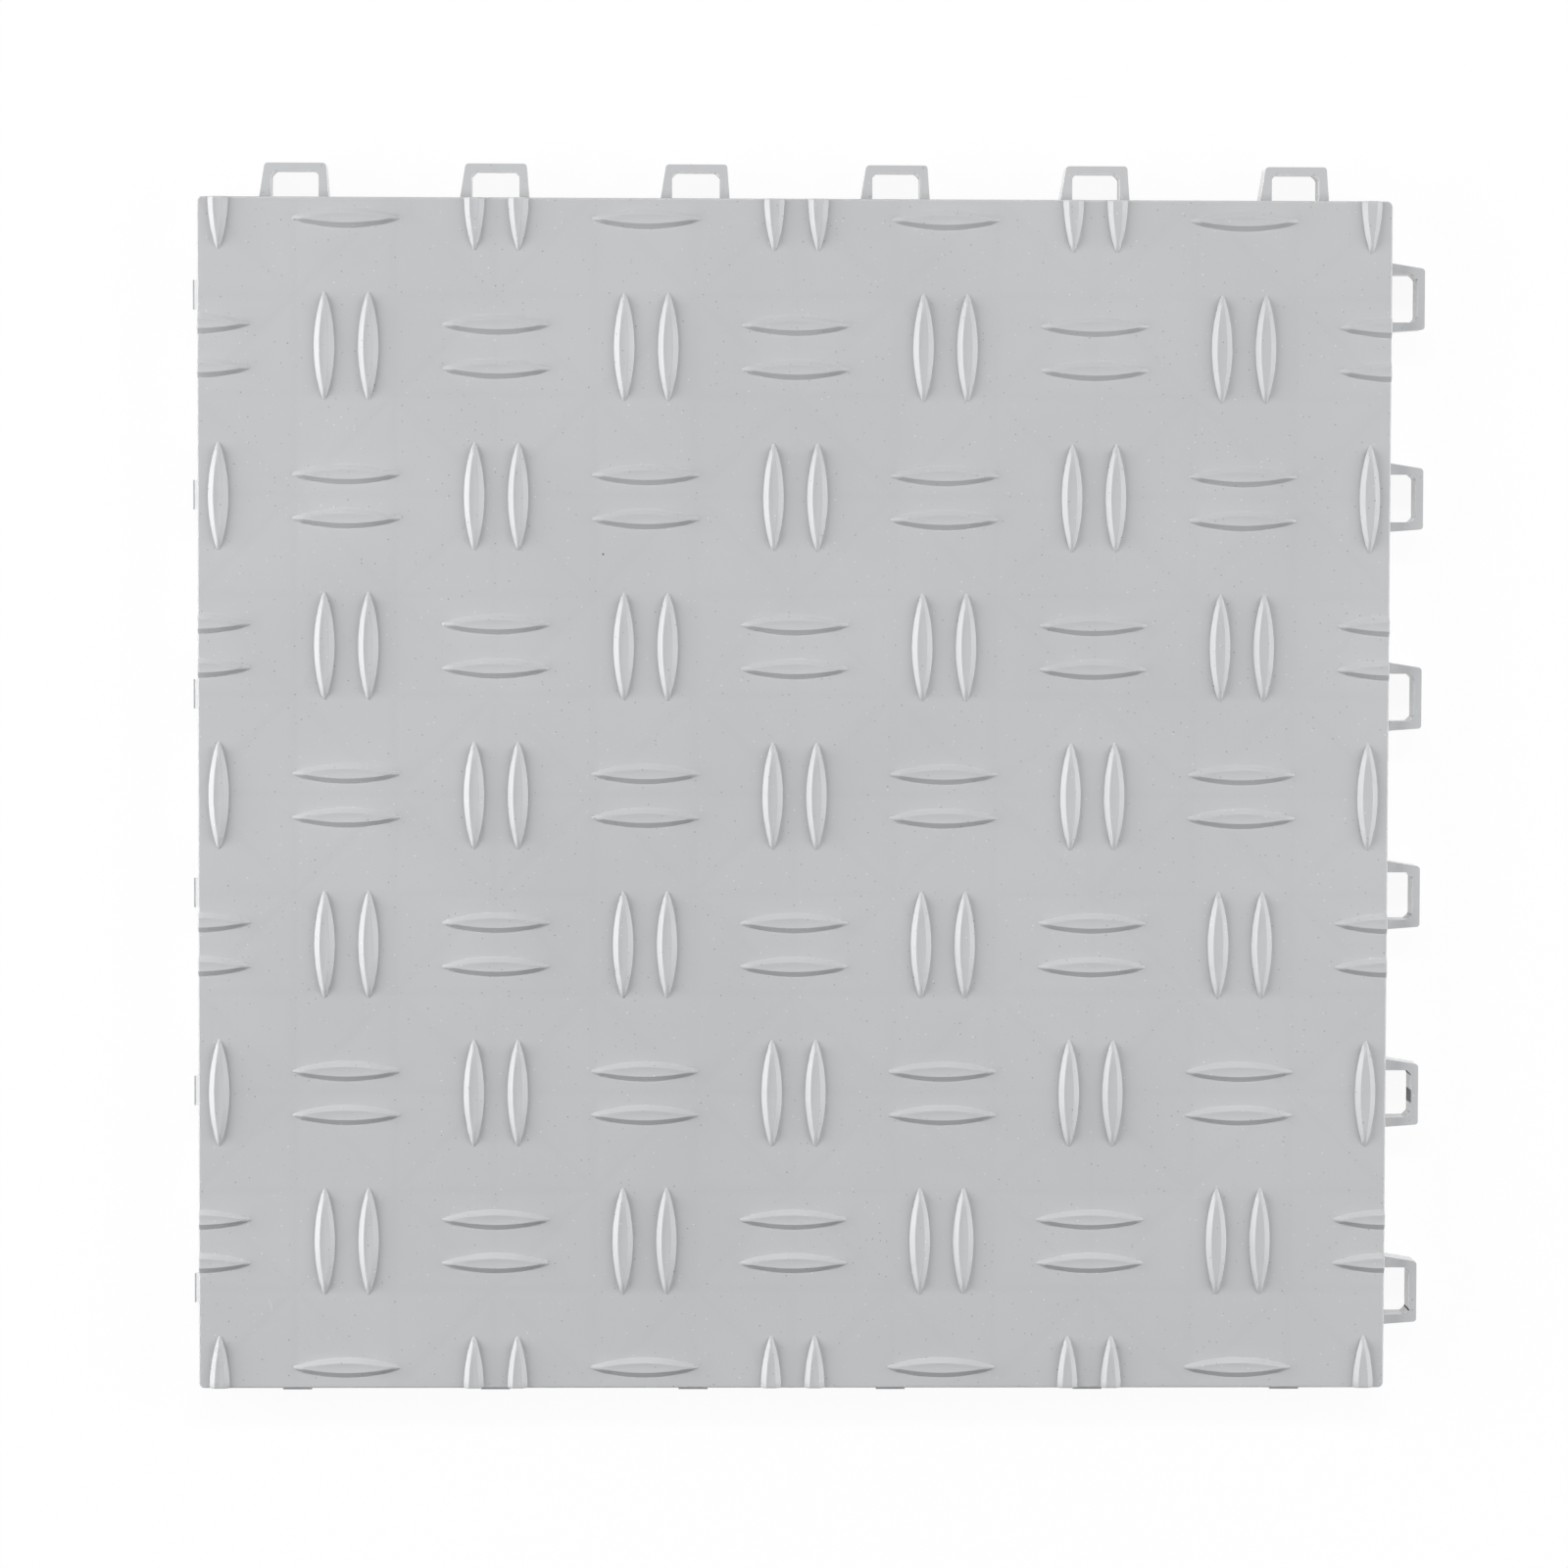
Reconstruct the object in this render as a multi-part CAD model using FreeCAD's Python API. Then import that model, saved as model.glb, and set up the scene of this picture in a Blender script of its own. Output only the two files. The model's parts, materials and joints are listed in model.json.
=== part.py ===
"""Interlocking floor tile, moulded in one piece of polypropylene.

The tile lies flat. +Z is up, +X and +Y point out of the two edges that carry loops, and the
origin is the middle of the underside, on the floor. Sizes are in millimetres.
"""
import FreeCAD
import Part
import math
import os

from FreeCAD import Placement, Rotation, Vector

# Outline and height
RIB_PITCH = 25.4
RIB_BAYS = 12
JOINT_GAP = 0.6
TILE_HEIGHT = 12.7
TREAD_HEIGHT = 1.2
PLATE = 2.3
SKIRT = 1.8
CORNER_R = 1.5
TOP_EDGE_CHAMFER = 0.4

# Raised bars of the tread, in pairs that turn by 90 degrees from cell to cell
CELL_PITCH = 38.1
PAIR_SPACING = 11.2
BAR_LENGTH = 27.3
BAR_WIDTH = 5.5
BAR_SLOPE = 1.35

# Ribs and feet of the underside
RIB = 1.3
DRAIN_HEIGHT = 2.5

# Loops of the +X and +Y edges, and the catch windows behind them
LINK_PITCH = 51.0
LOOP_REACH = 8.7
LOOP_HOLE_WIDTH = 12.2
LOOP_END_BAR = 1.85
LOOP_LEFT_ROOT = 2.9
LOOP_LEFT_END = 1.5
LOOP_RIGHT_ROOT = 2.45
LOOP_RIGHT_END = 1.8
LOOP_HOLE_CORNER = 1.2
LOOP_COVER_GAP = 0.25

# Pegs of the -X and -Y edges, and the pockets that take a neighbour's loops
PEG_WIDTH = 7.5
PEG_THICKNESS = 2.0
PEG_LIFT = 0.5
NOSE_REACH = 1.8
NOSE_LEDGE = 0.4
NOSE_Z = 2.2
NOSE_SLOPE_HEIGHT = 2.3
NOSE_TIP_HEIGHT = 0.5
NOSE_LEAD_IN = 1.0
CATCH_PLAY = 0.5
POCKET_SIDE_PLAY = 0.7
POCKET_END_PLAY = 0.8

# Sizes that follow from those above
LAID_PITCH = RIB_PITCH * RIB_BAYS
BODY = LAID_PITCH - JOINT_GAP
EDGE = BODY / 2
PLATE_TOP = TILE_HEIGHT - TREAD_HEIGHT
PLATE_UNDER = PLATE_TOP - PLATE
LOOP_TOP = PLATE_UNDER - LOOP_COVER_GAP
POCKET_HALF = LOOP_HOLE_WIDTH / 2 + max(LOOP_LEFT_ROOT, LOOP_RIGHT_ROOT) + POCKET_SIDE_PLAY
POCKET_DEPTH = LOOP_REACH - JOINT_GAP + POCKET_END_PLAY
BITE = 0.5


def prism(points, low, high):
    """A straight prism over a closed outline of (x, y) points."""
    corners = [Vector(x, y, low) for x, y in points]
    face = Part.Face(Part.makePolygon(corners + corners[:1]))
    return face.extrude(Vector(0, 0, high - low))


def block(x0, x1, y0, y1, low, high):
    return Part.makeBox(x1 - x0, y1 - y0, high - low, Vector(x0, y0, low))


def vertical_edges(solid, test):
    """The upright edges whose (x, y) place passes the test."""
    found = []
    for edge in solid.Edges:
        first, last = edge.Vertexes[0].Point, edge.Vertexes[-1].Point
        upright = abs(first.x - last.x) + abs(first.y - last.y) < 1e-6
        if upright and test(first.x, first.y):
            found.append(edge)
    return found


def grid_places(pitch, count):
    """Places a pitch apart along one edge, centred on the tile."""
    return [pitch * (k - (count - 1) / 2) for k in range(count)]


def outer_block(low, high):
    solid = block(-EDGE, EDGE, -EDGE, EDGE, low, high)
    return solid.makeFillet(CORNER_R, vertical_edges(solid, lambda x, y: True))


def tray():
    """The top plate with its skirt: an upside-down tray with softened top edges."""
    solid = outer_block(0, PLATE_TOP)
    rim = [e for e in solid.Edges if all(abs(v.Z - PLATE_TOP) < 1e-6 for v in e.Vertexes)]
    solid = solid.makeChamfer(TOP_EDGE_CHAMFER, rim)
    inside = EDGE - SKIRT
    return solid.cut(block(-inside, inside, -inside, inside, -1, PLATE_UNDER))


def ribs():
    """Straight ribs on the inch grid, and diagonal ribs through every second crossing."""
    top = PLATE_UNDER + BITE
    reach = EDGE - SKIRT / 2
    lines = grid_places(RIB_PITCH, RIB_BAYS - 1)
    solids = [block(c - RIB / 2, c + RIB / 2, -reach, reach, DRAIN_HEIGHT, top) for c in lines]
    solids += [block(-reach, reach, c - RIB / 2, c + RIB / 2, DRAIN_HEIGHT, top) for c in lines]
    half = RIB / math.sqrt(2)
    for shift in grid_places(2 * RIB_PITCH, RIB_BAYS - 1):
        for turn in (1, -1):
            outline = [(-reach, turn * (-reach + shift) - half), (reach, turn * (reach + shift) - half),
                       (reach, turn * (reach + shift) + half), (-reach, turn * (-reach + shift) + half)]
            solids.append(prism(outline, DRAIN_HEIGHT, top))
    lattice = solids[0].fuse(solids[1:])
    return lattice.common(block(-reach, reach, -reach, reach, 0, PLATE_TOP))


def feet():
    """The core of each crossing of eight ribs, carried down to the floor as an eight-sided foot."""
    corner = RIB / 2 / math.sin(math.pi / 8)
    angles = [math.pi / 8 + k * math.pi / 4 for k in range(8)]
    foot = prism([(corner * math.cos(a), corner * math.sin(a)) for a in angles], 0, DRAIN_HEIGHT + BITE)
    places = grid_places(RIB_PITCH, RIB_BAYS - 1)
    return [foot.translated(Vector(x, y, 0)) for i, x in enumerate(places)
            for j, y in enumerate(places) if (i + j) % 2 == 0]


def to_edge(solid, edge, place):
    """Moves a shape made at the +X edge, with Y = 0 as its middle, to a place on a named edge."""
    turn = {"+X": 0, "+Y": 90, "-X": 180, "-Y": 270}[edge]
    moved = solid.translated(Vector(0, place, 0))
    moved.rotate(Vector(0, 0, 0), Vector(0, 0, 1), turn)
    return moved


def loop():
    """One open loop. Its arms taper to the end bar, the left one (seen from the tile) more."""
    left, right = LOOP_HOLE_WIDTH / 2, -LOOP_HOLE_WIDTH / 2
    root, end = EDGE - SKIRT / 2, EDGE + LOOP_REACH
    outline = [(root, right - LOOP_RIGHT_ROOT), (EDGE, right - LOOP_RIGHT_ROOT),
               (end, right - LOOP_RIGHT_END), (end, left + LOOP_LEFT_END),
               (EDGE, left + LOOP_LEFT_ROOT), (root, left + LOOP_LEFT_ROOT)]
    hole_end = end - LOOP_END_BAR
    hole = block(EDGE, hole_end, right, left, -1, LOOP_TOP + 1)
    far_edges = vertical_edges(hole, lambda x, y: x > hole_end - 1e-6)
    return prism(outline, 0, LOOP_TOP).cut(hole.makeChamfer(LOOP_HOLE_CORNER, far_edges))


def catch_window():
    """The slot in the skirt behind a loop, which a neighbour's nose snaps into."""
    half = PEG_WIDTH / 2 + CATCH_PLAY
    low = NOSE_Z - NOSE_TIP_HEIGHT - NOSE_LEAD_IN
    high = NOSE_Z + NOSE_SLOPE_HEIGHT + CATCH_PLAY
    return block(EDGE - SKIRT - 1, EDGE + 1, -half, half, low, high)


def pocket():
    """The room under a peg edge that takes a neighbour's loop: skirt and ribs stop short of it."""
    return block(EDGE - POCKET_DEPTH, EDGE + 1, -POCKET_HALF, POCKET_HALF, -1, PLATE_UNDER)


def peg():
    """A springy tab with a snap nose: sloped above for release, chamfered below for entry."""
    back, face = EDGE - PEG_THICKNESS, EDGE
    tip, foot = NOSE_Z - NOSE_TIP_HEIGHT, NOSE_Z - NOSE_TIP_HEIGHT - NOSE_LEAD_IN
    profile = [(back, PEG_LIFT), (face, PEG_LIFT), (face, foot), (face + NOSE_REACH, tip),
               (face + NOSE_REACH, NOSE_Z), (face + NOSE_REACH - NOSE_LEDGE, NOSE_Z),
               (face, NOSE_Z + NOSE_SLOPE_HEIGHT), (face, PLATE_UNDER + BITE),
               (back, PLATE_UNDER + BITE)]
    corners = [Vector(x, -PEG_WIDTH / 2, z) for x, z in profile]
    side = Part.Face(Part.makePolygon(corners + corners[:1]))
    return side.extrude(Vector(0, PEG_WIDTH, 0))


def tread_bar():
    """One raised bar along X: two cones meet in a pointed lens with a flat top."""
    radius = (BAR_LENGTH ** 2 + BAR_WIDTH ** 2) / (4 * BAR_WIDTH)
    offset = radius - BAR_WIDTH / 2
    slope = BAR_SLOPE / TREAD_HEIGHT
    sides = []
    for centre in (-offset, offset):
        sides.append(Part.makeCone(radius + slope * BITE, radius - BAR_SLOPE, TREAD_HEIGHT + BITE,
                                   Vector(0, centre, PLATE_TOP - BITE)))
    return sides[0].common(sides[1])


def tread():
    """Pairs of bars on a square grid, upright and crosswise by turns, trimmed by the outline."""
    bar = tread_bar()
    reach = round(LAID_PITCH / 2 / CELL_PITCH)
    trim = outer_block(0, TILE_HEIGHT + 1)
    bars = []
    for i in range(-reach, reach + 1):
        for j in range(-reach, reach + 1):
            for side in (-PAIR_SPACING / 2, PAIR_SPACING / 2):
                copy = bar.copy()
                if (i + j) % 2 == 0:
                    turn, shift = Rotation(Vector(0, 0, 1), 90), Vector(side, 0, 0)
                else:
                    turn, shift = Rotation(), Vector(0, side, 0)
                copy.Placement = Placement(shift + Vector(i * CELL_PITCH, j * CELL_PITCH, 0), turn)
                box = copy.BoundBox
                if max(abs(box.XMin), abs(box.XMax), abs(box.YMin), abs(box.YMax)) > EDGE:
                    copy = copy.common(trim)
                bars += copy.Solids
    return bars


def floor_tile():
    """The whole moulding, fused from its tray, lattice, links and tread."""
    link_places = grid_places(LINK_PITCH, round(LAID_PITCH / LINK_PITCH))
    pocket_edges = [(edge, place) for edge in ("-X", "-Y") for place in link_places]
    loop_edges = [(edge, place) for edge in ("+X", "+Y") for place in link_places]
    rooms = [to_edge(pocket(), edge, place) for edge, place in pocket_edges]
    windows = [to_edge(catch_window(), edge, place) for edge, place in loop_edges]
    pegs = [to_edge(peg(), edge, place) for edge, place in pocket_edges]
    loops = [to_edge(loop(), edge, place) for edge, place in loop_edges]
    underside = ribs().fuse(feet()).cut(rooms)
    body = tray().cut(rooms + windows)
    return body.fuse([underside] + pegs + loops + tread()).removeSplitter()


def main():
    os.makedirs("parts", exist_ok=True)
    tile = floor_tile()
    print("solids", len(tile.Solids), "valid", tile.isValid(), "faces", len(tile.Faces))
    print("volume", round(tile.Volume / 1000, 1), "cm3")
    tile.Solids[0].exportStep("parts/floor_tile.step")


main()
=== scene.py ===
# %% [markdown]
# # A snap-together floor tile, dressed for a studio picture
# The real tile is one injection moulding in light grey polypropylene, about a foot square. Its
# underside, skirt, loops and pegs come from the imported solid. Its tread is what the eye meets
# first, so the tread is modelled again here with the soft edges that a mould gives.

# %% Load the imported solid
import json
import math

import bmesh
import bpy
from mathutils import Euler, Matrix, Vector

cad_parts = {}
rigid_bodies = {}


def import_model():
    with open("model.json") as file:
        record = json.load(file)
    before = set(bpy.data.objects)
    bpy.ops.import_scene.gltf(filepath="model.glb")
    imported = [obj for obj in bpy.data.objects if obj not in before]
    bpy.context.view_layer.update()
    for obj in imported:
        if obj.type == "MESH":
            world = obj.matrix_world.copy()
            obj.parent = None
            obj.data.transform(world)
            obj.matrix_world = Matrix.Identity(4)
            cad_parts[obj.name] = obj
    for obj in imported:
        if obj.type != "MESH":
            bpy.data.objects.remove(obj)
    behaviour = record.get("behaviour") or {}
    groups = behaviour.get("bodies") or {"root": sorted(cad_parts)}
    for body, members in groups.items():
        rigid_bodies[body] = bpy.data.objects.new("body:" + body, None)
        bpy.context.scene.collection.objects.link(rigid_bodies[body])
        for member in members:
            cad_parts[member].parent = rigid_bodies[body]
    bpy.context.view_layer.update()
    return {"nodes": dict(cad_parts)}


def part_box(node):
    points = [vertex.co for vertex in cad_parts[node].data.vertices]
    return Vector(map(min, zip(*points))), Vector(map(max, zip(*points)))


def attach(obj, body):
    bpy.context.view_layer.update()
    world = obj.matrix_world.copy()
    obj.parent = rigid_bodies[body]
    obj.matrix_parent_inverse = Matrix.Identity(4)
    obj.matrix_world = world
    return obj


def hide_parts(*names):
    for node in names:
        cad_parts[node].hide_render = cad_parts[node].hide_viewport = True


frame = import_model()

tile_node = frame["nodes"]["floor_tile"]
low_corner, high_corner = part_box("floor_tile")
print("solid box, mm:", [round(v * 1000, 1) for v in (*low_corner, *high_corner)])

# %% [markdown]
# Sizes are written in millimetres, as a maker would quote them, and turned to metres by one
# factor. The bars' plan is a pointed oval, drawn by two equal arcs. Its top is a slimmer oval, a
# little longer than an even slope would leave, so the flanks stand steeper towards the tips. Both
# lengths are those of the sharp ovals, before the tips are cut blunt.

# %% Name the sizes
MM = 0.001
EDGE = 152.1 * MM
PLATE_TOP = 11.5 * MM
TREAD_TOP = high_corner.z
SEAM_HEIGHT = 10.8 * MM
CORNER_RADIUS = 1.5 * MM
CELL = 38.1 * MM
CELLS_EACH_WAY = 9
PAIR_SPACING = 11.2 * MM
BAR_LENGTH = 29.2 * MM
BAR_WIDTH = 5.2 * MM
TOP_LENGTH = 24.8 * MM
BAR_SLOPE_RUN = 1.33 * MM
BAR_HEIGHT = TREAD_TOP - PLATE_TOP
SLOPE_ANGLE = math.atan2(BAR_HEIGHT, BAR_SLOPE_RUN)
print("bar height, mm:", round(BAR_HEIGHT / MM, 2), "side slope:", round(math.degrees(SLOPE_ANGLE), 1))

# %% [markdown]
# The mould's bars were cut crisply, so foot and brow have only a hair of a curve. The flat top is
# where the plastic is thickest, and it sinks a little as it cools: one side of the hollow catches
# the light and the other loses it. The section of a bar is a list of rings, each an oval with half
# its width, half its length and its height.

# %% Work out the section of a bar
FOOT_HOLLOW = 0.15 * MM
BROW_ROUND = 0.12 * MM
CURVE_STEPS = 2
TOP_SINK = 0.09 * MM
SINK_LENGTH = 20.0 * MM
SINK_SHARES = (0.12, 0.3, 0.55, 0.85)


def bar_section():
    """(half width, half length, height above the plate) of each ring, from the plate to the top."""
    foot_reach = FOOT_HOLLOW * math.tan(SLOPE_ANGLE / 2)
    brow = -BAR_SLOPE_RUN - BROW_ROUND * math.tan(SLOPE_ANGLE / 2)
    turns = [SLOPE_ANGLE * step / CURVE_STEPS for step in range(CURVE_STEPS + 1)]
    foot_curve = [(foot_reach - FOOT_HOLLOW * math.sin(t), FOOT_HOLLOW * (1 - math.cos(t)))
                  for t in turns]
    brow_curve = [(brow + BROW_ROUND * math.sin(t), BAR_HEIGHT - BROW_ROUND * (1 - math.cos(t)))
                  for t in reversed(turns)]
    longer = (BAR_LENGTH - TOP_LENGTH) / 2 / BAR_SLOPE_RUN
    section = [(BAR_WIDTH / 2 + out, BAR_LENGTH / 2 + out * longer, height)
               for out, height in foot_curve + brow_curve]
    half_top = section[-1][0]
    for share in SINK_SHARES:
        section.append((half_top * (1 - share), SINK_LENGTH / 2 * (1 - share),
                        BAR_HEIGHT - TOP_SINK * (1 - (1 - share) ** 2)))
    return section


print("rings in the section:", len(bar_section()))

# %% [markdown]
# Spinning a single point about an arc's centre draws one side of the oval at the foot of a bar,
# and a second spin draws the other. From there the bar is skinned by extruding its open ring, once
# for each ring of the section. Every point keeps its share of the way from the middle to the tip.
# The crease that would run down to each tip is cut away by one sloping plane. The cut is filled
# with a flat facet about half a millimetre wide, which makes the tip blunt and shines as a stroke.

# %% Draw the foot of one bar and extrude it to the top
ARC_STEPS = 12
TIP_FOOT = 13.75 * MM
TIP_BROW = 11.0 * MM
SAME_POINT = 0.001 * MM


def arc(half_width, half_length):
    """The radius of the arcs that draw an oval, and how far their centres lie from its middle."""
    radius = (half_length ** 2 + half_width ** 2) / (2 * half_width)
    return radius, radius - half_width


def spin_foot(bm, half_width, half_length):
    """A pointed oval along X on the plate, drawn by two spins."""
    radius, offset = arc(half_width, half_length)
    for side in (1, -1):
        start = bm.verts.new((side * half_length, 0, PLATE_TOP))
        bmesh.ops.spin(bm, geom=[start], cent=(0, -side * offset, PLATE_TOP), axis=(0, 0, 1),
                       angle=2 * math.asin(half_length / radius), steps=ARC_STEPS, use_merge=False)
    bmesh.ops.remove_doubles(bm, verts=bm.verts, dist=SAME_POINT)


def slide(point, old, new):
    """Moves a point from one ring of the section to the next."""
    old_radius, _ = arc(*old[:2])
    radius, offset = arc(*new[:2])
    share = math.asin(point.x / old_radius) / math.asin(old[1] / old_radius)
    turn = share * math.asin(new[1] / radius)
    across = math.copysign(radius * math.cos(turn) - offset, point.y)
    return Vector((radius * math.sin(turn), across, PLATE_TOP + new[2]))


def make_bar():
    """A mesh of one bar along X at the middle of the tile, open underneath."""
    bm = bmesh.new()
    section = bar_section()
    spin_foot(bm, *section[0][:2])
    ring = bm.edges[:]
    for old, new in zip(section, section[1:]):
        made = bmesh.ops.extrude_edge_only(bm, edges=ring)["geom"]
        ring = [g for g in made if isinstance(g, bmesh.types.BMEdge)]
        for vert in {v for e in ring for v in e.verts}:
            vert.co = slide(vert.co, old, new)
    bmesh.ops.contextual_create(bm, geom=ring)
    for face in bm.faces:
        face.smooth = True
    for side in (1, -1):
        slope = Vector((side * BAR_HEIGHT, 0, TIP_FOOT - TIP_BROW)).normalized()
        cut = bmesh.ops.bisect_plane(bm, geom=bm.verts[:] + bm.edges[:] + bm.faces[:],
                                     dist=SAME_POINT / 2, plane_co=(side * TIP_FOOT, 0, PLATE_TOP),
                                     plane_no=slope, clear_outer=True)["geom_cut"]
        low = sorted((g for g in cut if isinstance(g, bmesh.types.BMVert)), key=lambda v: v.co.z)[:2]
        rim = [g for g in cut if isinstance(g, bmesh.types.BMEdge)] + [bm.edges.new(low)]
        bmesh.ops.contextual_create(bm, geom=rim)
    bmesh.ops.recalc_face_normals(bm, faces=bm.faces)
    if sum(f.normal.z for f in bm.faces) < 0:
        bmesh.ops.reverse_faces(bm, faces=bm.faces)
    mesh = bpy.data.meshes.new("tread_bar")
    bm.to_mesh(mesh)
    bm.free()
    return mesh


bar_mesh = make_bar()
print("faces in one bar:", len(bar_mesh.polygons))

# %% [markdown]
# The tread repeats one square cell: two bars side by side on a flat field. Filling between the
# cell's square border and the two open ovals gives the field with the bars already joined to it.

# %% Make one cell of the tread
def open_edges(bm):
    return [e for e in bm.edges if e.is_boundary]


def open_points(bm):
    """The points of the open edges, each once."""
    return list(dict.fromkeys(v for e in open_edges(bm) for v in e.verts))


def make_cell():
    """A mesh of one cell with its two bars along X, centred on the tile."""
    bm = bmesh.new()
    for side in (-0.5, 0.5):
        start = len(bm.verts)
        bm.from_mesh(bar_mesh)
        bm.verts.ensure_lookup_table()
        bmesh.ops.translate(bm, verts=bm.verts[start:], vec=(0, side * PAIR_SPACING, 0))
    ovals = open_edges(bm)
    corners = bmesh.ops.create_grid(bm, x_segments=1, y_segments=1, size=CELL / 2,
                                    matrix=Matrix.Translation((0, 0, PLATE_TOP)))["verts"]
    square = list(dict.fromkeys(e for v in corners for e in v.link_edges))
    bmesh.ops.delete(bm, geom=corners[0].link_faces[:], context="FACES_ONLY")
    filled = bmesh.ops.triangle_fill(bm, edges=ovals + square, use_beauty=True, normal=(0, 0, 1))
    for face in filled["geom"]:
        if isinstance(face, bmesh.types.BMFace):
            face.smooth = False
            if face.normal.z < 0:
                face.normal_flip()
    mesh = bpy.data.meshes.new("tread_cell")
    bm.to_mesh(mesh)
    bm.free()
    return mesh


cell_mesh = make_cell()
print("faces in one cell:", len(cell_mesh.polygons))

# %% [markdown]
# The field turns its cells like a woven mat: in every second one the bars run the other way. The
# copies only touch, so their common corners are merged to make one sheet.

# %% Lay the cells side by side
MERGE = 0.01 * MM


def lay_tread():
    """One sheet of cells, wider than the tile, with the turned cells where column + row is even."""
    bm = bmesh.new()
    reach = CELLS_EACH_WAY // 2
    for column in range(-reach, reach + 1):
        for row in range(-reach, reach + 1):
            start = len(bm.verts)
            bm.from_mesh(cell_mesh)
            bm.verts.ensure_lookup_table()
            if (column + row) % 2 == 0:
                bmesh.ops.rotate(bm, verts=bm.verts[start:], cent=(0, 0, 0),
                                 matrix=Matrix.Rotation(math.pi / 2, 3, "Z"))
            bmesh.ops.translate(bm, verts=bm.verts[start:], vec=(column * CELL, row * CELL, 0))
    bmesh.ops.remove_doubles(bm, verts=bm.verts, dist=MERGE)
    return bm


tread = lay_tread()
print("faces in the sheet:", len(tread.faces))

# %% [markdown]
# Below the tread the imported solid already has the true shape: skirt, loops, pegs, ribs and feet.
# A copy of its mesh is cut level just under the top edge, and only the lower part is kept. Its
# triangles are loose, so they are merged first, and flat neighbours are joined back into faces.

# %% Copy the lower body from the solid
FLAT_ENOUGH = math.radians(0.5)


def copy_lower_body():
    bm = bmesh.new()
    bm.from_mesh(tile_node.data)
    bmesh.ops.remove_doubles(bm, verts=bm.verts, dist=0.2 * MERGE)
    bmesh.ops.bisect_plane(bm, geom=bm.verts[:] + bm.edges[:] + bm.faces[:], dist=0.1 * MERGE,
                           plane_co=(0, 0, SEAM_HEIGHT), plane_no=(0, 0, 1), clear_outer=True)
    bmesh.ops.dissolve_limit(bm, angle_limit=FLAT_ENOUGH, verts=bm.verts, edges=bm.edges)
    return bm


body = copy_lower_body()
print("faces in the lower body:", len(body.faces), "open edges:", len(open_edges(body)))

# %% [markdown]
# The sheet is now cut to the tile's outline. Each side is one cutting plane, and each round corner
# is a fan of planes, one for every facet that the corner has in the solid, so that both halves
# meet point to point at the seam.

# %% Cut the sheet to the outline
CORNER_CENTRE = EDGE - CORNER_RADIUS
RIM_ROUND = 0.35 * MM

in_corner = [v for v in open_points(body) if min(abs(v.co.x), abs(v.co.y)) > CORNER_CENTRE + MERGE]
CORNER_FACETS = len(in_corner) // 4 + 1


def cut_outline(bm, radius):
    """Cuts a sheet to a square whose round corners have this radius about the corner centres."""
    step = math.pi / 2 / CORNER_FACETS
    planes = [(quarter * math.pi / 2, radius) for quarter in range(4)]
    planes += [((k + 0.5) * step, radius * math.cos(step / 2)) for k in range(4 * CORNER_FACETS)]
    for angle, distance in planes:
        outwards = Vector((math.cos(angle), math.sin(angle), 0))
        centre = Vector([math.copysign(CORNER_CENTRE, c) for c in outwards[:2]] + [0])
        bmesh.ops.bisect_plane(bm, geom=bm.verts[:] + bm.edges[:] + bm.faces[:], dist=0.1 * MERGE,
                               plane_co=centre + distance * outwards, plane_no=outwards,
                               clear_outer=True)


cut_outline(tread, CORNER_RADIUS - RIM_ROUND)
print("facets in a corner:", CORNER_FACETS, "open edges of the sheet:", len(open_edges(tread)))

# %% [markdown]
# The rim is rounded by sweeping the sheet's open border: each extrusion moves it a little outwards
# and down, along a quarter circle. The border rises over the bars that the tile's edge cuts
# through, so their ends get the same soft edge. A last extrusion drops it to the seam.

# %% Round the rim and drop it to the seam
RIM_STEPS = 3


def away(point):
    """The direction out of the tile at a point of its border."""
    nearest = Vector([max(-CORNER_CENTRE, min(CORNER_CENTRE, c)) for c in point[:2]])
    return (point.xy - nearest).normalized().to_3d()


def extrude_border(bm, move):
    """Extrudes the open border once and moves each new point by what move returns for it."""
    made = bmesh.ops.extrude_edge_only(bm, edges=open_edges(bm))["geom"]
    for face in made:
        if isinstance(face, bmesh.types.BMFace):
            face.smooth = True
    for vert in open_points(bm):
        vert.co += move(vert.co)


def round_rim(bm):
    for step in range(RIM_STEPS):
        start, end = (math.pi / 2 * k / RIM_STEPS for k in (step, step + 1))
        out = RIM_ROUND * (math.sin(end) - math.sin(start))
        down = RIM_ROUND * (math.cos(start) - math.cos(end))
        extrude_border(bm, lambda point: away(point) * out - Vector((0, 0, down)))
    extrude_border(bm, lambda point: Vector((0, 0, SEAM_HEIGHT - point.z)))


round_rim(tread)
print("faces in the tread:", len(tread.faces), "open edges:", len(open_edges(tread)))

# %% [markdown]
# What sticks out past the body is seen against the light ground, and nothing there is razor sharp.
# The loops' outer corners and the corners of their holes are rounded in plan. Then every edge of
# the loops and of the pegs' noses gets a small round. The edges inside the body stay crisp, as
# nobody sees them from the front.

# %% Soften the loops and pegs
LOOP_CORNER = 0.75 * MM
HOLE_CORNER = 0.3 * MM
LINK_ROUND = 0.15 * MM
SHARP = math.radians(30)
CLEAR_OF_BODY = 0.1 * MM
LOOP_SIDE = 5 * MM


def outside_edges(bm):
    """Edges beyond the body that have a face on each side."""
    return [e for e in bm.edges if len(e.link_faces) == 2
            and max(abs(c) for c in (e.verts[0].co + e.verts[1].co)[:2]) / 2 > EDGE + CLEAR_OF_BODY]


def round_edges(bm, edges, offset, segments):
    made = bmesh.ops.bevel(bm, geom=edges, affect="EDGES", offset=offset, segments=segments,
                           profile=0.5, material=-1, clamp_overlap=True)
    for face in made["faces"]:
        face.smooth = True


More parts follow.
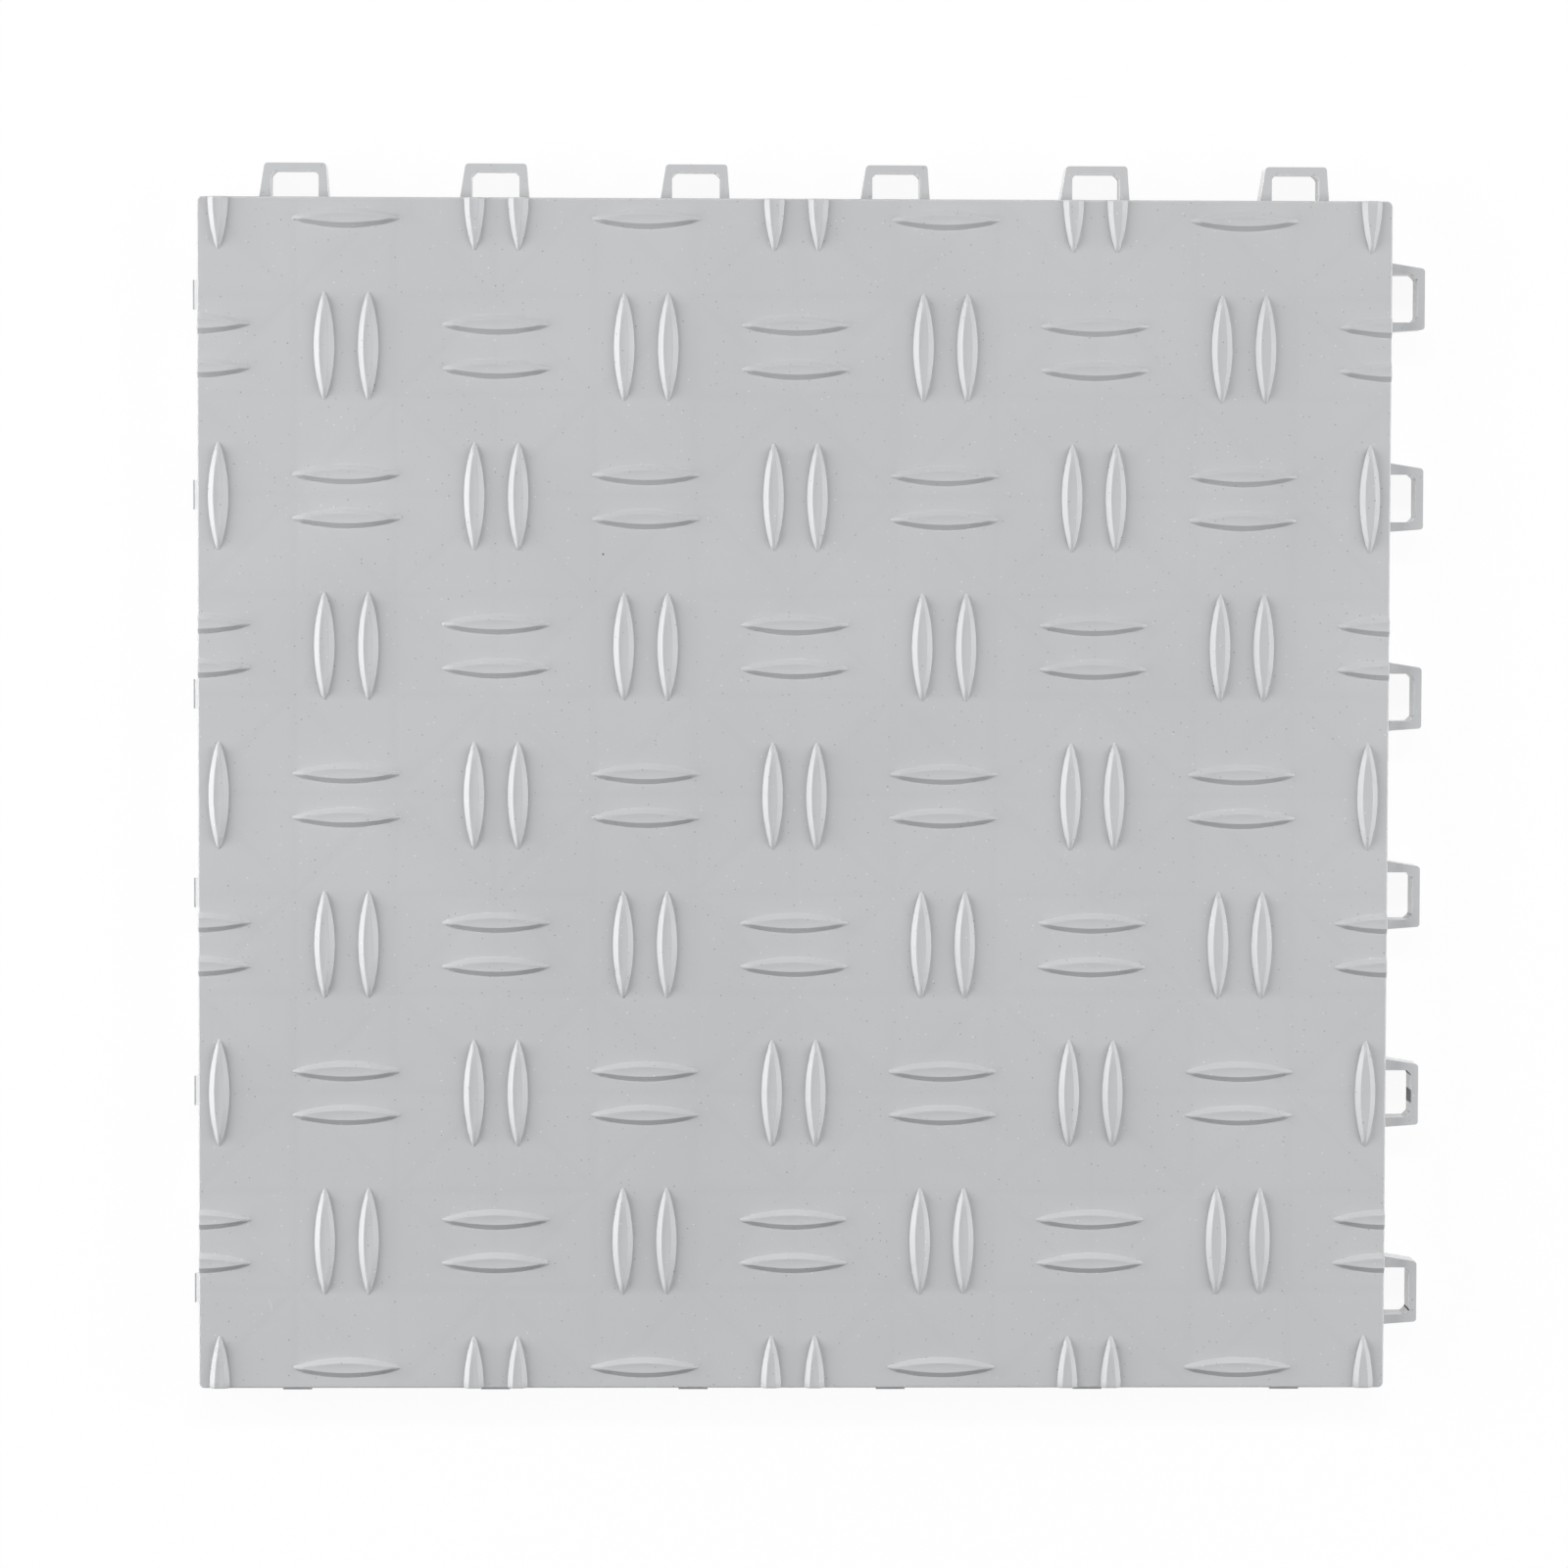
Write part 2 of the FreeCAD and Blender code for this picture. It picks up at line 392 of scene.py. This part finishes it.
def soften_links(bm):
    """Rounds the loops in plan, then every sharp edge outside the body."""
    upright = [e for e in outside_edges(bm) if e.calc_length() > LOOP_SIDE
               and (e.verts[0].co - e.verts[1].co).xy.length < MERGE]
    outer = [e for e in upright if e.calc_face_angle_signed() > SHARP]
    inner = [e for e in upright if e.calc_face_angle_signed() < -SHARP]
    round_edges(bm, outer, LOOP_CORNER, 4)
    round_edges(bm, inner, HOLE_CORNER, 3)
    sharp = [e for e in outside_edges(bm) if e.calc_face_angle_signed() > SHARP]
    round_edges(bm, sharp, LINK_ROUND, 2)
    return len(outer), len(inner), len(sharp)


print("edges rounded:", soften_links(body), "faces now:", len(body.faces))

# %% [markdown]
# The two halves meet at the seam. The sheet's border has a point wherever a bar or a cell ends,
# but a side of the lower body is one long edge. Splitting that edge at the same places lets both
# borders be merged, which leaves one closed skin with no hidden wall inside. The sheet's points
# stay where they are and the body's join them, so that every run gives the same skin.

# %% Stitch the tread to the lower body
def split_sides(bm, border_points):
    """Splits the open edges wherever a point of the other border lies on them."""
    for edge in open_edges(bm):
        start, end = edge.verts
        along = (end.co - start.co).normalized()
        inner = [p for p in border_points if (p - start.co).cross(along).length < MERGE
                 and MERGE < (p - start.co).dot(along) < edge.calc_length() - MERGE]
        for point in sorted(inner, key=lambda p: (p - start.co).dot(along)):
            _, vert = bmesh.utils.edge_split(edge, edge.other_vert(end), 0.5)
            vert.co = point
            edge = next(e for e in vert.link_edges if end in e.verts)


def stitch(upper, lower):
    """Joins both halves into one mesh."""
    split_sides(lower, [v.co.copy() for v in open_points(upper)])
    mesh = bpy.data.meshes.new("moulded_tile")
    lower.to_mesh(mesh)
    border = open_points(upper)
    upper.from_mesh(mesh)
    pairs = bmesh.ops.find_doubles(upper, verts=open_points(upper), keep_verts=border, dist=MERGE)
    bmesh.ops.weld_verts(upper, targetmap=pairs["targetmap"])
    triangles = sum(len(f.verts) - 2 for f in upper.faces)
    print("open edges left:", len(open_edges(upper)), "triangles:", triangles)
    upper.to_mesh(mesh)
    lower.free()
    upper.free()
    return mesh


tile = bpy.data.objects.new("moulded_tile", stitch(tread, body))
bpy.context.scene.collection.objects.link(tile)
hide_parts("floor_tile")
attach(tile, "root")

# %% [markdown]
# The real material is polypropylene, injection moulded in a mould with a fine satin finish. To the
# eye that is an even light grey with a dull sheen, never a mirror. The colour is written as a web
# hex value, and one function turns it to the linear numbers that a shader works in. A second one
# adds a node. Its inputs are given in order or by name, and each may be a value, a socket, or
# another node, which stands for that node's first output.

# %% Begin the polypropylene
PLASTIC_GREY = "#BBBCBE"
PLASTIC_IOR = 1.49
MATH = "ShaderNodeMath"


def linear(hex_colour):
    """A hex sRGB colour as linear RGBA."""
    values = [int(hex_colour[i:i + 2], 16) / 255 for i in (1, 3, 5)]
    return (*[v / 12.92 if v <= 0.04045 else ((v + 0.055) / 1.055) ** 2.4 for v in values], 1.0)


def add_node(tree, kind, *inputs, **settings):
    """Adds a node. A setting is a property of the node, or an input named with _ for a space."""
    node = tree.nodes.new(kind)
    properties = {name for name in settings if hasattr(node, name)}
    for name in properties:
        setattr(node, name, settings[name])
    named = [(name.replace("_", " "), settings[name]) for name in settings if name not in properties]
    for name, value in [*enumerate(inputs), *named]:
        source = value.outputs[0] if isinstance(value, bpy.types.Node) else value
        if isinstance(source, bpy.types.NodeSocket):
            tree.links.new(node.inputs[name], source)
        else:
            node.inputs[name].default_value = source
    return node


plastic = bpy.data.materials.new("satin_polypropylene")
plastic.use_nodes = True
tree = plastic.node_tree
shader = tree.nodes["Principled BSDF"]
shader.inputs["IOR"].default_value = PLASTIC_IOR
tile.data.materials.append(plastic)
print("plastic, linear:", [round(v, 3) for v in linear(PLASTIC_GREY)[:3]])

# %% [markdown]
# The mould's top half is textured, but its side walls are plain polished steel, or the tile would
# not slide out. So the upright walls of the loops and the skirt come out glossier, and mirror the
# white ground. The upward part of the surface's normal tells wall from tread.

# %% Make the upright walls glossier
TREAD_ROUGHNESS = 0.42
WALL_ROUGHNESS = 0.2
WALL_UPWARD = 0.1
TREAD_UPWARD = 0.5

place = add_node(tree, "ShaderNodeTexCoord").outputs["Object"]
normal = add_node(tree, "ShaderNodeNewGeometry").outputs["Normal"]
upward = add_node(tree, "ShaderNodeSeparateXYZ", normal).outputs["Z"]
upward = add_node(tree, MATH, upward, operation="ABSOLUTE")
roughness = add_node(tree, "ShaderNodeMapRange", upward, WALL_UPWARD, TREAD_UPWARD,
                     WALL_ROUGHNESS, TREAD_ROUGHNESS)
print("roughness from wall to tread:", WALL_ROUGHNESS, TREAD_ROUGHNESS)

# %% [markdown]
# Where a rib meets the plate from below, the plastic is thicker, cools last and sinks. The ribs run
# on an inch grid, with diagonals through every second crossing, so faint dips show on the tread
# along the same lines. Ping-pong folds a coordinate into its distance from the nearest line, and a
# bell curve of that distance is the dip. Real dips are a few hundredths of a millimetre deep.

# %% Sink the plate over the ribs
RIB_GRID = 25.4 * MM
DIP_WIDTH = 1.3 * MM
DIP_DEPTH = 0.03 * MM

x, y, _ = add_node(tree, "ShaderNodeSeparateXYZ", place).outputs
dips = []
for value, half_pitch, squeeze in [
    (x, RIB_GRID / 2, 1.0), (y, RIB_GRID / 2, 1.0),
    (add_node(tree, MATH, x, y, operation="ADD"), RIB_GRID, math.sqrt(0.5)),
    (add_node(tree, MATH, x, y, operation="SUBTRACT"), RIB_GRID, math.sqrt(0.5)),
]:
    distance = add_node(tree, MATH, value, half_pitch, operation="PINGPONG")
    widths = add_node(tree, MATH, distance, squeeze / DIP_WIDTH, operation="MULTIPLY")
    squared = add_node(tree, MATH, widths, 2.0, operation="POWER")
    dips.append(add_node(tree, MATH, math.exp(-1), squared, operation="POWER"))
straight = add_node(tree, MATH, dips[0], dips[1], operation="MAXIMUM")
diagonal = add_node(tree, MATH, dips[2], dips[3], operation="MAXIMUM")
either = add_node(tree, MATH, straight, diagonal, operation="MAXIMUM")
dip = add_node(tree, MATH, dips[2], dips[3], either, operation="MULTIPLY_ADD")
print("dips on a grid of mm:", RIB_GRID / MM)

# %% [markdown]
# The satin itself is a grain of about a third of a millimetre. That is too fine for the picture, so
# it is drawn at twice the size, and only just shows. It is up to three times as deep in patches a
# few centimetres wide, where the plastic pressed harder on the mould. Both reliefs are summed as
# one height, which the Bump node turns to slopes. Heights are in metres, so its distance stays at 1.

# %% Add the satin grain and the bump
GRAIN = 0.7 * MM
GRAIN_DEPTH = 0.009 * MM
ROUGH_DEPTH = 3 * GRAIN_DEPTH
PATCH = 30 * MM
PATCH_EDGES = (0.42, 0.62)

patches = add_node(tree, "ShaderNodeTexNoise", place, Scale=1 / PATCH, Detail=2.0)
depth = add_node(tree, "ShaderNodeMapRange", patches, *PATCH_EDGES, GRAIN_DEPTH, ROUGH_DEPTH)
grain = add_node(tree, "ShaderNodeTexNoise", place, Scale=1 / GRAIN, Detail=2.0)
relief = add_node(tree, MATH, dip, -DIP_DEPTH, operation="MULTIPLY")
relief = add_node(tree, MATH, grain, depth, relief, operation="MULTIPLY_ADD")
bump = add_node(tree, "ShaderNodeBump", Strength=1.0, Distance=1.0, Height=relief)
tree.links.new(shader.inputs["Normal"], bump.outputs[0])
print("grain, mm:", GRAIN / MM)

# %% [markdown]
# No moulding is one flat grey. The colour drifts a little over a few centimetres where the melt
# flowed, and along the sink lines it is painted a touch darker, as painted shade over the dips. Fine
# specks of dust and of unmelted pigment, some pale and some dark, are strewn through the solid, and a
# surface shows the few that it cuts, at less than half a millimetre across. Upright walls are painted
# paler: painted light, brighter than the lamps and the white ground leave them.

# %% Vary the grey
DRIFT = 45 * MM
DRIFT_SHADES = (0.975, 1.02)
# Painted shade: the sink lines are darkened in colour by this share.
SINK_PAINTED_SHADE = -0.012
SPECK_SPACING = 1.7 * MM
SPECK_RADIUS = 0.2 * MM
DARKEST_SPECK = -0.4
PALEST_SPECK = 0.3
# Painted light: upright walls are painted paler by this factor.
WALL_PAINTED_LIGHT = 1.1

drift = add_node(tree, "ShaderNodeTexNoise", place, Scale=1 / DRIFT, Detail=3.0)
shade = add_node(tree, "ShaderNodeMapRange", drift, 0.3, 0.7, *DRIFT_SHADES)
cells = add_node(tree, "ShaderNodeTexVoronoi", place, Scale=1 / SPECK_SPACING)
near = add_node(tree, MATH, cells, SPECK_RADIUS / SPECK_SPACING, operation="LESS_THAN")
tint = add_node(tree, "ShaderNodeSeparateColor", cells.outputs["Color"])
tint = add_node(tree, MATH, tint, PALEST_SPECK - DARKEST_SPECK, DARKEST_SPECK,
                operation="MULTIPLY_ADD")
shade = add_node(tree, MATH, near, tint, shade, operation="MULTIPLY_ADD")
# Painted shade: the grey is darkened along the sink lines, on top of their real dips in the bump.
shade = add_node(tree, MATH, dip, SINK_PAINTED_SHADE, shade, operation="MULTIPLY_ADD")
# Painted light: upright walls are painted up to a tenth paler than the tread.
painted_wall_light = add_node(tree, "ShaderNodeMapRange", upward, WALL_UPWARD, TREAD_UPWARD, WALL_PAINTED_LIGHT, 1.0)
shade = add_node(tree, MATH, shade, painted_wall_light, operation="MULTIPLY")
print("specks each, mm:", SPECK_SPACING / MM)

# %% [markdown]
# The tile in the picture has a few marks of its own: a black speck, a short curved scratch, a ring
# left by a burst bubble on one bar, and dark patches on the walls inside two loops. Seen from above
# each is a disc or an arc: the distance to its centre is compared with a radius. A second disc
# keeps only a part of it, and a very large one keeps a patch on its wall. Height doesn't count.
# A dark mark is also made rougher, so it shines less.

# %% Put the single marks in their places
DULL_BY = -0.8
MARKS = [
    # centre, radius, half width, centre and radius of the disc that limits it, strength
    ((-48.96, 61.65), 0.0, 0.24, (-48.96, 61.65), 1.0, -0.85),
    ((-138.6, -132.0), 5.1, 0.11, (-133.7, -130.6), 1.5, 0.22),
    ((-147.4, -142.3), 0.5, 0.12, (-147.4, -142.3), 1.0, -0.18),
    ((158.35, -71.0), 0.0, 0.9, (130.1, -99.25), 40.0, -0.85),
    ((158.95, -77.2), 0.0, 1.7, (119.05, -77.2), 40.0, -0.55),
    ((158.95, -132.4), 0.0, 0.22, (119.05, -132.4), 40.0, -0.9),
]

plan = add_node(tree, "ShaderNodeVectorMath", place, (1.0, 1.0, 0.0), operation="MULTIPLY")
for centre, radius, half_width, limit, limit_radius, strength in MARKS:
    inside = strength
    for point, middle, half in ((centre, radius, half_width), (limit, 0.0, limit_radius)):
        at = (point[0] * MM, point[1] * MM, 0.0)
        far = add_node(tree, "ShaderNodeVectorMath", plan, at, operation="DISTANCE").outputs["Value"]
        band = add_node(tree, MATH, far, middle * MM, half * MM, operation="COMPARE")
        inside = add_node(tree, MATH, inside, band, operation="MULTIPLY")
    shade = add_node(tree, MATH, shade, inside, operation="ADD")
    roughness = add_node(tree, MATH, inside, DULL_BY, roughness, operation="MULTIPLY_ADD")
tree.links.new(shader.inputs["Roughness"], roughness.outputs[0])
tinted = add_node(tree, "ShaderNodeVectorMath", linear(PLASTIC_GREY)[:3], Scale=shade,
                  operation="SCALE")
tree.links.new(shader.inputs["Base Color"], tinted.outputs["Vector"])
print("marks:", len(MARKS), "nodes in the material:", len(tree.nodes))

# %% [markdown]
# The ground is a sheet of matt white background paper that runs out of the picture on all sides.
# Paper scatters light evenly, so it is a plain diffuse surface. Seen by the camera, or in a
# reflection, it is lifted to white, but it still takes a trace of the tile's soft shadow.

# %% Lay the floor
FLOOR_HALF = 3.0
FLOOR_LIFT = 0.94
PAPER_WHITE = "#F2F2F2"

floor_mesh = bpy.data.meshes.new("studio_floor")
bm = bmesh.new()
bmesh.ops.create_grid(bm, x_segments=1, y_segments=1, size=FLOOR_HALF)
bm.to_mesh(floor_mesh)
bm.free()
floor = bpy.data.objects.new("studio_floor", floor_mesh)
bpy.context.scene.collection.objects.link(floor)

paper = bpy.data.materials.new("white_paper")
paper.use_nodes = True
tree = paper.node_tree
tree.nodes.clear()
path = add_node(tree, "ShaderNodeLightPath")
seen = add_node(tree, MATH, path.outputs["Is Camera Ray"], path.outputs["Is Glossy Ray"],
                operation="MAXIMUM")
seen = add_node(tree, MATH, seen, path.outputs["Is Transmission Ray"], operation="MAXIMUM")
lift = add_node(tree, MATH, seen, FLOOR_LIFT, operation="MULTIPLY")
matt = add_node(tree, "ShaderNodeBsdfDiffuse", linear(PAPER_WHITE))
glow = add_node(tree, "ShaderNodeEmission", (1, 1, 1, 1), 1.0)
add_node(tree, "ShaderNodeOutputMaterial", add_node(tree, "ShaderNodeMixShader", lift, matt, glow))
floor_mesh.materials.append(paper)
print("floor is", 2 * FLOOR_HALF, "m wide")

# %% [markdown]
# Relief only shows when light crosses it. A tall softbox on the left, centred 20 degrees up, makes
# the left flank of every bar white and lets its right foot sink into a narrow shadow. A weaker one
# does the same from the right. A flat one beyond the far edge, 46 degrees up, lights the crosswise
# bars' far flanks and leaves the near ones dark. An area lamp's power for a wanted level follows
# from its distance: a matt white facing it renders as written when the power is pi squared times
# the distance squared.

# %% Set the lamps
ROOM_LEVEL = 0.01


def softbox(name, azimuth, elevation, distance, size, level):
    """An area lamp that looks at the tile, with its level as a share of a full exposure."""
    lamp = bpy.data.lights.new(name, "AREA")
    lamp.shape = "RECTANGLE"
    lamp.size, lamp.size_y = size
    lamp.energy = level * (math.pi * distance) ** 2
    lamp_object = bpy.data.objects.new(name, lamp)
    turn = Euler((math.radians(90 - elevation), 0, math.radians(azimuth + 90)))
    lamp_object.rotation_euler = turn
    lamp_object.location = turn.to_matrix() @ Vector((0, 0, distance))
    bpy.context.scene.collection.objects.link(lamp_object)
    return lamp_object


softbox("left_box", azimuth=178, elevation=20, distance=1.5, size=(1.2, 0.9), level=1.3)
softbox("right_box", azimuth=0, elevation=26, distance=1.5, size=(1.2, 0.86), level=0.9)
softbox("far_box", azimuth=90, elevation=46, distance=4.0, size=(3.2, 0.4), level=0.55)

world = bpy.data.worlds.new("studio_room")
world.use_nodes = True
bpy.context.scene.world = world
tree = world.node_tree
tree.nodes.clear()
path = add_node(tree, "ShaderNodeLightPath")
seen = add_node(tree, MATH, path.outputs["Is Camera Ray"], path.outputs["Is Transmission Ray"],
                operation="MAXIMUM")
level = add_node(tree, "ShaderNodeMapRange", seen, 0.0, 1.0, ROOM_LEVEL, 1.0)
add_node(tree, "ShaderNodeOutputWorld", add_node(tree, "ShaderNodeBackground", (1, 1, 1, 1), level))
bpy.context.scene.view_settings.view_transform = "Standard"

# %% [markdown]
# The picture is taken from above with a long lens, almost square to the tile. The small tilts and
# the offset are what make the left pegs and the right loops' far walls just visible.

# %% Place the camera
CAMERA_PLACE = (-0.036395, 0.069805, 1.4115)
CAMERA_TILT = (-2.7301, -1.3702, 0.1778)
LENS = 126.0
SENSOR = 36.0

camera = bpy.data.objects.new("camera", bpy.data.cameras.new("camera"))
camera.data.lens = LENS
camera.data.sensor_width = SENSOR
camera.location = CAMERA_PLACE
camera.rotation_euler = [math.radians(a) for a in CAMERA_TILT]
bpy.context.scene.collection.objects.link(camera)
bpy.context.scene.camera = camera
print("camera height, m:", CAMERA_PLACE[2])
